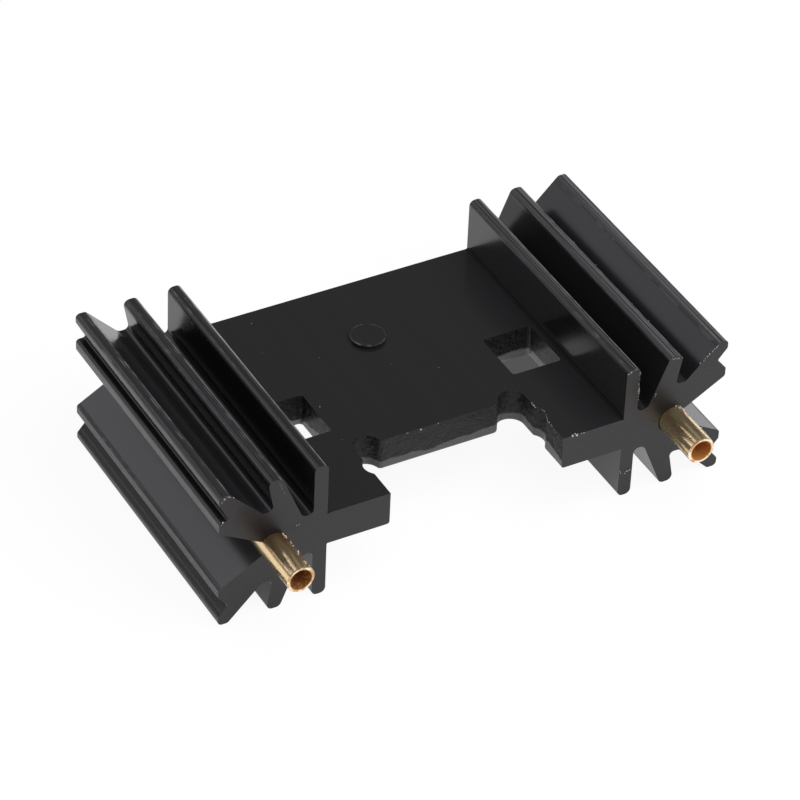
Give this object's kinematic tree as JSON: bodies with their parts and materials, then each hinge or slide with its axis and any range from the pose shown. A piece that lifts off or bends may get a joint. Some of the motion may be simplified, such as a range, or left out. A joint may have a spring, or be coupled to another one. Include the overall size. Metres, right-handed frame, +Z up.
{
  "type": "clip-on transistor heat sink",
  "caption": "Black finned aluminium heat sink for a power transistor, with windows for a spring clip, a slot for the leads and tubular brass pins for a circuit board.",
  "frame": {"origin": "midway between the tips of the solder pins and the far sawn end, on the floor under the middle of the section", "axes": "+X across the fins, +Y along the extrusion away from the pins, +Z up from the lower fins to the upper ones"},
  "size_m": [0.045, 0.0298, 0.0127],
  "materials": {
    "black_anodised_aluminium": "black anodised, satin",
    "bright_brass": "drawn tube, bright"
  },
  "bodies": {
    "root": {"heat_sink_body": "black_anodised_aluminium", "left_solder_pin": "bright_brass", "right_solder_pin": "bright_brass"}
  },
  "joints": []
}
